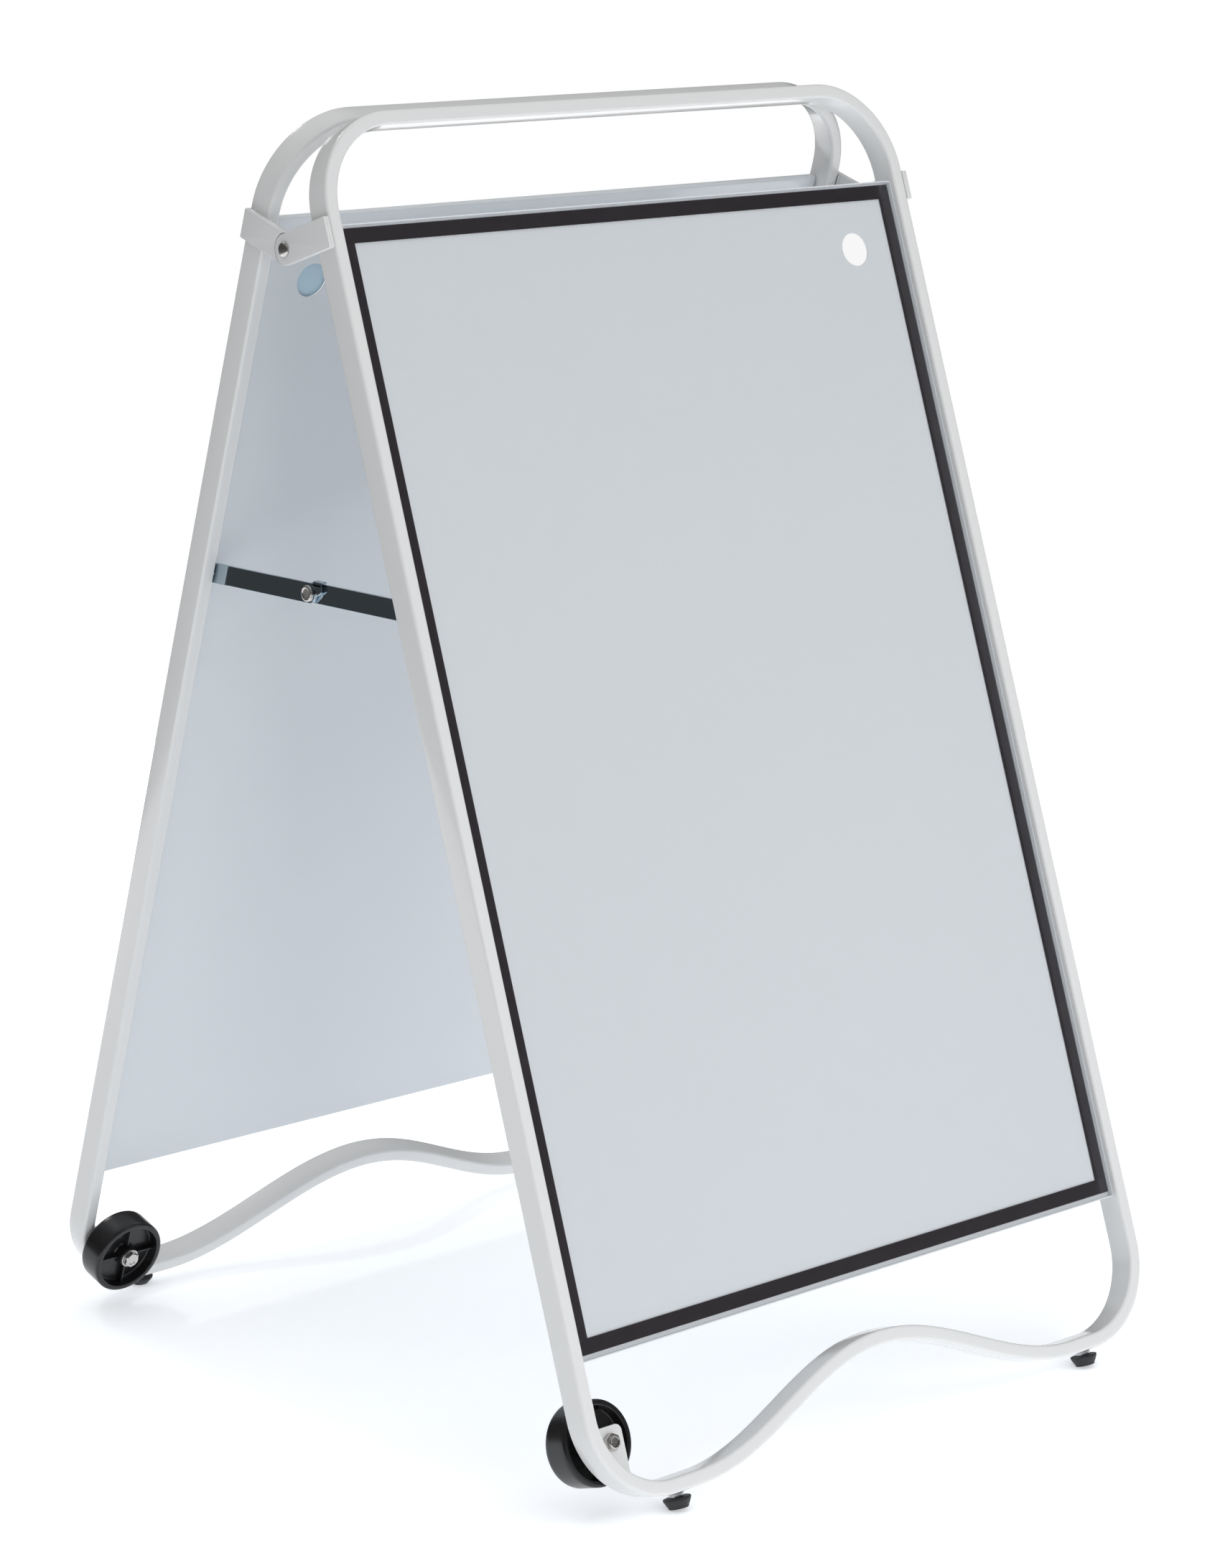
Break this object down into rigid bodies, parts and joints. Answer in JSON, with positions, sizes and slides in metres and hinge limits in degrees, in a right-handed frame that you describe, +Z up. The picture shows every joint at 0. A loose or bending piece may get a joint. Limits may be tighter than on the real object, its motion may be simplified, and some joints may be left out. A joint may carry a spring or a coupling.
{
  "type": "rolling whiteboard",
  "caption": "Folding A-frame whiteboard with a framed board and clear removable cover on both faces, wheels at one low corner, and a carry bar on top.",
  "frame": {"origin": "on the floor, under the middle of the whole object", "axes": "+Z up, +X along the hinge line with the wheels at -X, the front frame at -Y"},
  "size_m": [0.6678, 0.7656, 1.1039],
  "materials": {
    "white_paint": "gloss powder coat",
    "board_white": "gloss enamel",
    "clear_sheet": "clear, glossy",
    "magnet_black": "satin",
    "wheel_black": "satin",
    "rubber_black": "matt",
    "bright_steel": "bright plate",
    "dark_steel": "dark, polished",
    "light_metal": "plain zinc"
  },
  "bodies": {
    "front_frame": {"front_loop": "white_paint", "front_hinge_left": "white_paint", "front_hinge_right": "white_paint", "front_wheel_plate": "white_paint", "front_board": "board_white", "front_boss_left": "light_metal", "front_boss_right": "light_metal", "front_axle_sleeve": "light_metal", "front_foot_left": "rubber_black", "front_foot_right": "rubber_black", "front_axle_bolt": "bright_steel", "front_axle_nut": "bright_steel", "front_axle_washer": "bright_steel", "left_stay_front_rivet": "bright_steel", "right_stay_front_rivet": "bright_steel", "hinge_bolt_left": "bright_steel", "hinge_nut_left": "bright_steel", "left_stay_spacer": "light_metal", "hinge_bolt_right": "bright_steel", "hinge_nut_right": "bright_steel", "right_stay_spacer": "light_metal"},
    "front_wheel": {"front_wheel": "wheel_black"},
    "front_cover": {"front_cover_sheet": "clear_sheet", "front_cover_border": "magnet_black"},
    "rear_frame": {"rear_loop": "white_paint", "rear_hinge_left": "white_paint", "rear_hinge_right": "white_paint", "rear_wheel_plate": "white_paint", "rear_board": "board_white", "rear_boss_left": "light_metal", "rear_boss_right": "light_metal", "rear_axle_sleeve": "light_metal", "rear_foot_left": "rubber_black", "rear_foot_right": "rubber_black", "rear_axle_bolt": "bright_steel", "rear_axle_nut": "bright_steel", "rear_axle_washer": "bright_steel", "left_stay_rear_rivet": "bright_steel", "right_stay_rear_rivet": "bright_steel"},
    "rear_wheel": {"rear_wheel": "wheel_black"},
    "rear_cover": {"rear_cover_sheet": "clear_sheet", "rear_cover_border": "magnet_black"},
    "left_stay_front": {"left_stay_front_bar": "dark_steel", "left_stay_pin_tail": "bright_steel"},
    "left_stay_rear": {"left_stay_rear_bar": "dark_steel", "left_stay_pin_head": "bright_steel"},
    "right_stay_front": {"right_stay_front_bar": "dark_steel", "right_stay_pin_tail": "bright_steel"},
    "right_stay_rear": {"right_stay_rear_bar": "dark_steel", "right_stay_pin_head": "bright_steel"}
  },
  "joints": [
    {"name": "fold", "type": "hinge", "parent": "front_frame", "child": "rear_frame", "pos_m": [0, 0, 0.99331], "axis": [-1, 0, 0], "range_deg": [0, 35.9]},
    {"name": "front_wheel_spin", "type": "hinge", "parent": "front_frame", "child": "front_wheel", "pos_m": [-0.2925, -0.32417, 0.05541], "axis": [0, -0.9505, 0.3107], "continuous": true},
    {"name": "front_cover_pull", "type": "slide", "parent": "front_frame", "child": "front_cover", "axis": [0, -0.9505, 0.3107], "range_m": [0, 0.06]},
    {"name": "rear_wheel_spin", "type": "hinge", "parent": "rear_frame", "child": "rear_wheel", "pos_m": [-0.2925, 0.32417, 0.05541], "axis": [0, 0.9505, 0.3107], "continuous": true},
    {"name": "rear_cover_pull", "type": "slide", "parent": "rear_frame", "child": "rear_cover", "axis": [0, 0.9505, 0.3107], "range_m": [0, 0.06]},
    {"name": "left_stay_front_fold", "type": "hinge", "parent": "front_frame", "child": "left_stay_front", "pos_m": [-0.31, -0.13475, 0.70753], "axis": [1, 0, 0], "range_deg": [0, 54.5]},
    {"name": "left_stay_rear_fold", "type": "hinge", "parent": "rear_frame", "child": "left_stay_rear", "pos_m": [-0.31, 0.13475, 0.70753], "axis": [-1, 0, 0], "range_deg": [0, 54.5]},
    {"name": "right_stay_front_fold", "type": "hinge", "parent": "front_frame", "child": "right_stay_front", "pos_m": [0.31, -0.13475, 0.70753], "axis": [1, 0, 0], "range_deg": [0, 54.5]},
    {"name": "right_stay_rear_fold", "type": "hinge", "parent": "rear_frame", "child": "right_stay_rear", "pos_m": [0.31, 0.13475, 0.70753], "axis": [-1, 0, 0], "range_deg": [0, 54.5]}
  ],
  "couplings": [
    {"joint": "left_stay_front_fold", "follows": "fold", "ratio": 1.5178},
    {"joint": "left_stay_rear_fold", "follows": "fold", "ratio": 1.5178},
    {"joint": "right_stay_front_fold", "follows": "fold", "ratio": 1.5178},
    {"joint": "right_stay_rear_fold", "follows": "fold", "ratio": 1.5178}
  ]
}
